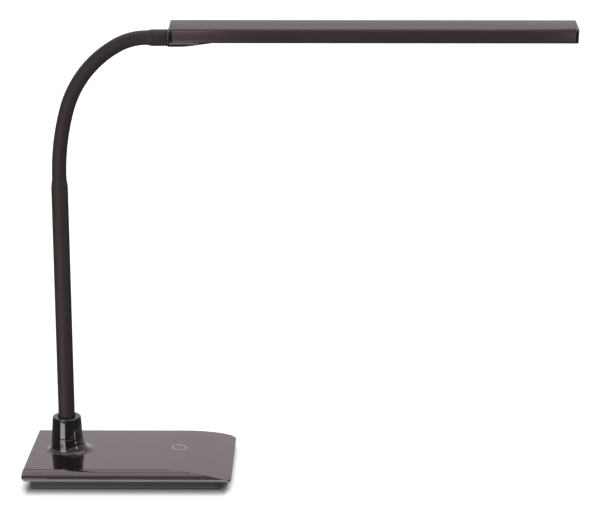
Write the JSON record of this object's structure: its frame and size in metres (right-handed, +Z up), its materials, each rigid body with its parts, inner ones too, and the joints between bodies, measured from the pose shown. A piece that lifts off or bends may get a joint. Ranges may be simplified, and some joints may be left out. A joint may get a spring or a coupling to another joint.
{
  "type": "gooseneck desk lamp",
  "caption": "Desk lamp with a slim bar head on a sleeved bending neck over a flat weighted base with a touch switch.",
  "frame": {"origin": "middle of the non-slip pad's underside, at the centre of the base's outline", "axes": "+X from the neck towards the free end of the head, +Y away from the front edge, +Z up"},
  "size_m": [0.5252, 0.1306, 0.4419],
  "materials": {
    "cover_plastic": "high gloss, dark plum brown",
    "tray_plastic": "semi gloss, dark grey brown",
    "ring_light": "translucent light guide",
    "pad_rubber": "matt foam rubber",
    "ballast_steel": "zinc plated",
    "board_laminate": "green solder mask",
    "component_plastic": "moulded packages",
    "screw_steel": "plated",
    "touch_foam": "conductive foam",
    "inlet_plastic": "black moulding",
    "lead_sheath": "black sheath",
    "plain_steel": "plated",
    "collar_plastic": "high gloss black",
    "grommet_rubber": "matt",
    "tube_steel": "drawn tube",
    "sleeve_rubber": "matt, slightly brown black",
    "hose_steel": "wound steel",
    "head_aluminium": "satin anodised, dark plum grey",
    "cap_plastic": "gloss black",
    "diffuser_acrylic": "opal",
    "thermal_tape": "soft filled tape",
    "led_board": "white solder mask on metal core",
    "led_phosphor": "yellow phosphor"
  },
  "bodies": {
    "base": {"base_cover": "cover_plastic", "touch_ring": "ring_light", "base_tray": "tray_plastic", "non_slip_pad": "pad_rubber", "ballast_plate": "ballast_steel", "control_board": "board_laminate", "board_parts": "component_plastic", "board_screws": "screw_steel", "touch_foam": "touch_foam", "dc_socket": "inlet_plastic", "base_screws": "screw_steel", "power_lead": "lead_sheath", "neck_lead": "lead_sheath", "neck_stem": "plain_steel", "anchor_plate": "plain_steel", "neck_nut": "plain_steel", "collar": "collar_plastic", "grommet": "grommet_rubber", "neck_tube": "tube_steel", "tube_sleeve": "sleeve_rubber", "hose_ferrule": "plain_steel"},
    "link_1": {"sleeve_1": "sleeve_rubber", "hose_1": "hose_steel", "lead_1": "lead_sheath"},
    "link_2": {"sleeve_2": "sleeve_rubber", "hose_2": "hose_steel", "lead_2": "lead_sheath"},
    "link_3": {"sleeve_3": "sleeve_rubber", "hose_3": "hose_steel", "lead_3": "lead_sheath"},
    "link_4": {"sleeve_4": "sleeve_rubber", "hose_4": "hose_steel", "lead_4": "lead_sheath"},
    "link_5": {"sleeve_5": "sleeve_rubber", "hose_5": "hose_steel", "lead_5": "lead_sheath"},
    "link_6": {"sleeve_6": "sleeve_rubber", "hose_6": "hose_steel", "lead_6": "lead_sheath"},
    "link_7": {"sleeve_7": "sleeve_rubber", "hose_7": "hose_steel", "lead_7": "lead_sheath"},
    "link_8": {"sleeve_8": "sleeve_rubber", "hose_8": "hose_steel", "lead_8": "lead_sheath", "cuff_sleeve": "sleeve_rubber", "hose_end_fitting": "plain_steel", "fitting_clip": "screw_steel"},
    "head": {"head_profile": "head_aluminium", "diffuser": "diffuser_acrylic", "thermal_tape": "thermal_tape", "led_board": "led_board", "led_chips": "led_phosphor", "inner_end_cap": "cap_plastic", "outer_end_cap": "cap_plastic", "end_cap_screws": "screw_steel", "neck_mount": "cap_plastic", "mount_screws": "screw_steel", "head_lead": "lead_sheath"}
  },
  "joints": [
    {"name": "neck_twist", "type": "hinge", "parent": "base", "child": "link_1", "pos_m": [-0.0639, 0.0012, 0.2889], "axis": [0, 0, 1], "range_deg": [-35, 35]},
    {"name": "bend_low", "type": "hinge", "parent": "link_1", "child": "link_2", "pos_m": [-0.06385, 0.0012, 0.2989], "axis": [0, 1, 0], "range_deg": [-20, 10]},
    {"name": "sway_low", "type": "hinge", "parent": "link_2", "child": "link_3", "pos_m": [-0.06183, 0.0012, 0.32481], "axis": [0.9911, 0, -0.1331], "range_deg": [-25, 25]},
    {"name": "bend_mid", "type": "hinge", "parent": "link_3", "child": "link_4", "pos_m": [-0.05694, 0.0012, 0.35033], "axis": [0, 1, 0], "range_deg": [-30, 20]},
    {"name": "sway_mid", "type": "hinge", "parent": "link_4", "child": "link_5", "pos_m": [-0.04834, 0.0012, 0.37481], "axis": [0.8966, 0, -0.4429], "range_deg": [-25, 25]},
    {"name": "bend_high", "type": "hinge", "parent": "link_5", "child": "link_6", "pos_m": [-0.03401, 0.0012, 0.39642], "axis": [0, 1, 0], "range_deg": [-35, 15]},
    {"name": "sway_high", "type": "hinge", "parent": "link_6", "child": "link_7", "pos_m": [-0.01471, 0.0012, 0.41373], "axis": [0.5681, 0, -0.823], "range_deg": [-25, 25]},
    {"name": "bend_tip", "type": "hinge", "parent": "link_7", "child": "link_8", "pos_m": [0.00864, 0.0012, 0.42481], "axis": [0, 1, 0], "range_deg": [-35, 15]},
    {"name": "head_twist", "type": "hinge", "parent": "link_8", "child": "head", "pos_m": [0.02188, 0.0012, 0.42636], "axis": [1, 0, 0], "range_deg": [-35, 35]}
  ]
}
